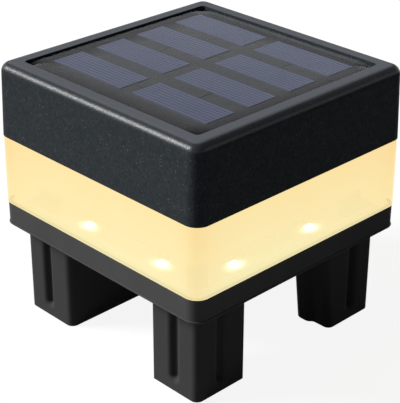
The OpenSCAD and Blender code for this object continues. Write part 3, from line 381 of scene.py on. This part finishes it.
def window_plastic():
    """Frosted plastic that glows: palest low in the middle of a side, peach towards corners and top."""
    look = Look("window_plastic", Base_Color=linear(70, 60, 44), Roughness=0.4, Specular_IOR_Level=0.1)
    low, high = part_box("diffuser")
    half = (high[0] - low[0]) / 2
    z_low, z_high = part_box("base_housing")[1][2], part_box("reflector_plate")[0][2]
    x, y = look.axis("X"), look.axis("Y")
    along = look.maths("MINIMUM", look.maths("ABSOLUTE", x), look.maths("ABSOLUTE", y))
    corner = look.maths("POWER", look.times(along, 1 / half), CORNER_FALL)
    middle = look.maths("SUBTRACT", 1.0, corner)
    lowness = look.spread(look.axis("Z"), z_low, z_high, 1.0, 0.0)
    towards = look.spread(look.maths("SUBTRACT", x, y), 0.0, 2 * half)
    level = look.add(look.times(middle, MIDDLE_SHARE), look.times(lowness, LOW_SHARE))
    level = look.add(level, look.times(towards, TOWARDS_SHARE))
    level = look.add(level, look.times(look.noise(14 * MM, detail=1), CLOUD_SHARE))
    warm = look.ramp(level, [
        (0.0, (253, 212, 146)), (0.45, (254, 229, 166)), (0.95, (254, 246, 192)),
    ])
    look.glow(warm, WINDOW_GLOW)
    clear_top = z_low + CLEAR_TO
    solid = look.spread(look.axis("Z"), clear_top, clear_top + CLEAR_FADE, WINDOW_SOLID, 1.0)
    look.put(look.shader.inputs["Alpha"], solid)
    look.bump(look.noise(0.7 * MM, detail=2), 0.01 * MM)
    return look.material


def white_plastic():
    look = Look("white_plastic", Roughness=0.45)
    look.mottled(3 * MM, (234, 233, 228), (242, 242, 239))
    look.bump(look.noise(0.6 * MM), 0.02 * MM)
    return look.material


def soft_rubber(name, dark, light, grain=0.5 * MM):
    """Silicone, foam and the wires' soft insulation."""
    look = Look(name, Roughness=0.7, Specular_IOR_Level=0.3)
    look.mottled(2 * MM, dark, light)
    look.bump(look.noise(grain, detail=3), 0.03 * MM)
    return look.material


# ---------------------------------------------------------------- solar panel

FINGER_PITCH = 1.65 * MM
FINGER_WIDTH = 0.22 * MM
FINGER_METAL = 0.5        # how metallic a finger looks
PANEL_GLOSS = 1.18        # index of refraction that the clear front's mirroring goes by
# Painted dark reflection: the backing turns black near its edge
BORDER_DARK_TO = 2.5 * MM # the backing is black up to this distance from its edge
BORDER_PALE_FROM = 10.5 * MM


def solar_cell():
    """Blue-grey silicon under an anti-reflection film, with fine silver fingers along each cell."""
    look = Look("solar_cell", Specular_IOR_Level=0.01)
    first_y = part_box("solar_cells")[0][1]
    crystal = look.noise(5 * MM, detail=2, stretch=(1, 1, 0.2))
    film = look.blend(crystal, (77, 83, 107), (85, 92, 119))
    steps = look.times(look.add(look.axis("Y"), -first_y), 1 / FINGER_PITCH)
    off_centre = look.maths("ABSOLUTE", look.add(look.maths("FRACT", steps), -0.5))
    finger_share = FINGER_WIDTH / FINGER_PITCH
    finger = look.spread(off_centre, finger_share, 0.5 * finger_share)
    look.colour(look.blend(finger, film, (110, 115, 138)))
    look.put(look.shader.inputs["Metallic"], look.times(finger, FINGER_METAL))
    look.roughness(look.vary(crystal, 0.3, 0.4))
    return look.material


def panel_front():
    """Clear cast resin: it shows what lies behind it and mirrors the surroundings at a low angle."""
    look = Look("panel_front")
    clear = look.node("ShaderNodeBsdfTransparent")
    clear.inputs["Color"].default_value = (0.97, 0.98, 0.99, 1)
    gloss = look.node("ShaderNodeBsdfAnisotropic")
    gloss.inputs["Color"].default_value = (0.95, 0.96, 1.0, 1)
    look.put(gloss.inputs["Roughness"], look.vary(look.noise(12 * MM, detail=2), 0.1, 0.2))
    shine = look.node("ShaderNodeFresnel")
    shine.inputs["IOR"].default_value = PANEL_GLOSS
    ripple = look.node("ShaderNodeBump")
    ripple.inputs["Distance"].default_value = 0.05 * MM
    look.put(ripple.inputs["Height"], look.noise(7 * MM, detail=1))
    look.put(gloss.inputs["Normal"], ripple.outputs[0])
    look.put(shine.inputs["Normal"], ripple.outputs[0])
    inner_side = look.node("ShaderNodeNewGeometry").outputs["Backfacing"]
    share = look.times(shine.outputs[0], look.maths("SUBTRACT", 1.0, inner_side))
    both = mix_shaders(look.tree, share, clear.outputs[0], gloss.outputs[0])
    look.put(look.output.inputs["Surface"], both)
    look.tree.nodes.remove(look.shader)
    return look.material


def panel_backing():
    """Dark solder resist, a little brown between the cells, with a painted dark reflection that turns
    it black towards its edge.
    """
    look = Look("panel_backing", Roughness=0.5, Specular_IOR_Level=0.01)
    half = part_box("panel_board")[1][0]
    outwards = look.maths("MAXIMUM", look.off_middle("X"), look.off_middle("Y"))
    inwards = look.maths("SUBTRACT", half, outwards)
    middle = look.blend(look.noise(6 * MM), (64, 64, 67), (74, 73, 73))
    # painted dark reflection: black towards the edge, the plain backing further in
    look.colour(look.blend(look.spread(inwards, BORDER_DARK_TO, BORDER_PALE_FROM), (9, 9, 10), middle))
    look.bump(look.noise(0.8 * MM), 0.003 * MM)
    return look.material


# ---------------------------------------------------------------- metals, board and electronics

METAL_SHADE = 0.86        # darkness of the darker patches, as a share of the colour
MOULDED_SHADE = 0.88


def metal(name, colour, roughness):
    """Brushed along Y, with slightly darker patches."""
    look = Look(name, Metallic=1.0)
    scratch = look.noise(0.3 * MM, detail=2, stretch=(1, 0.15, 1))
    look.roughness(look.vary(scratch, roughness - 0.07, roughness + 0.08))
    look.mottled(1.5 * MM, tuple(c * METAL_SHADE for c in colour), colour)
    look.bump(scratch, 0.01 * MM)
    return look.material


LAMP_ALONG = 19.5 * MM    # distance of the lamps from the middle of a side
PHOSPHOR_HALF = 1.0 * MM  # half width of a lamp's phosphor, across the side
HALO_LONG = 3.3 * MM      # reach of the light along the side, and across it
HALO_WIDE = 1.9 * MM
HALO_OUT = 0.5 * MM       # how far outside the lamp it is centred
HALO_COLOUR = linear(255, 250, 232)
HALO_STRENGTH = 19.0


def lamp_halo(look):
    """Share of light, 0 to 1, that the board shows round each lamp."""
    low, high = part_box("led_phosphors")
    out = 0.5 * (high[0] - low[0]) - PHOSPHOR_HALF + HALO_OUT
    x, y = look.off_middle("X"), look.off_middle("Y")

    def spot(long_axis, wide_axis):
        a = look.times(look.add(long_axis, -LAMP_ALONG), 1 / HALO_LONG)
        b = look.times(look.add(wide_axis, -out), 1 / HALO_WIDE)
        far = look.add(look.times(a, a), look.times(b, b))
        return look.maths("EXPONENT", look.times(far, -1.0))
    return look.maths("MAXIMUM", spot(x, y), spot(y, x))


def circuit_board():
    look = Look("circuit_board", Roughness=0.35)
    look.mottled(5 * MM, (226, 228, 222), (240, 241, 238))
    look.glow(HALO_COLOUR, look.times(lamp_halo(look), HALO_STRENGTH))
    look.bump(look.noise(1 * MM), 0.02 * MM)
    return look.material


def lamp_phosphor():
    look = Look("lamp_phosphor", Roughness=0.4)
    look.mottled(0.4 * MM, (244, 200, 70), (255, 228, 110))
    look.glow(linear(255, 244, 205), HALO_STRENGTH)
    return look.material


def lit_package():
    """White lamp housing, lit through by its own lamp."""
    look = Look("lit_package", Roughness=0.4)
    look.mottled(0.5 * MM, (232, 230, 220), (244, 242, 234))
    look.glow(HALO_COLOUR, HALO_STRENGTH)
    return look.material


def moulded(name, colour, roughness=0.5, grain=0.3 * MM):
    """Small moulded parts: chips, connectors, sleeves."""
    look = Look(name, Roughness=roughness)
    look.mottled(1 * MM, tuple(c * MOULDED_SHADE for c in colour), colour)
    look.bump(look.noise(grain, detail=3), 0.02 * MM)
    return look.material


# One look for each material slot of the record
LOOKS = {
    "cap_plastic": cap_plastic(),
    "base_plastic": base_plastic(),
    "window_plastic": window_plastic(),
    "panel_front": panel_front(),
    "panel_backing": panel_backing(),
    "solar_cell": solar_cell(),
    "white_plastic": white_plastic(),
    "circuit_board": circuit_board(),
    "lamp_phosphor": lamp_phosphor(),
    "tinned_metal": metal("dull_ribbon", (66, 65, 65), 0.6),
    "screw_steel": metal("screw_steel", (176, 178, 182), 0.3),
    "spring_steel": metal("spring_steel", (186, 186, 188), 0.25),
    "cell_can": metal("cell_can", (200, 200, 202), 0.3),
    "contact_brass": metal("contact_brass", (205, 168, 92), 0.32),
    "switch_case": metal("switch_case", (160, 162, 166), 0.4),
    "capacitor_can": metal("capacitor_can", (196, 198, 202), 0.35),
    "tape_foam": soft_rubber("tape_foam", (20, 20, 20), (32, 32, 32), grain=0.3 * MM),
    "silicone": soft_rubber("silicone", (140, 142, 145), (160, 162, 164)),
    "wire_red": soft_rubber("wire_red", (160, 24, 20), (190, 38, 32)),
    "wire_black": soft_rubber("wire_black", (18, 18, 19), (32, 32, 33)),
    "chip_plastic": moulded("chip_plastic", (26, 26, 28)),
    "connector_plastic": moulded("connector_plastic", (232, 226, 206), 0.4),
    "cell_sleeve": moulded("cell_sleeve", (34, 96, 66), 0.3, grain=2 * MM),
    "switch_lever": moulded("switch_lever", (226, 226, 222), 0.45),
}

# Nodes with a look of their own
OWN_LOOKS = {"led_packages": lit_package()}


def dress():
    """Gives every node the look of its material slot, or the one that it has to itself."""
    for part in frame["record"]["subparts"]:
        look = OWN_LOOKS.get(part["node"], LOOKS[part["material_slot"]])
        for slot in frame["nodes"][part["node"]].material_slots:
            slot.material = look


dress()
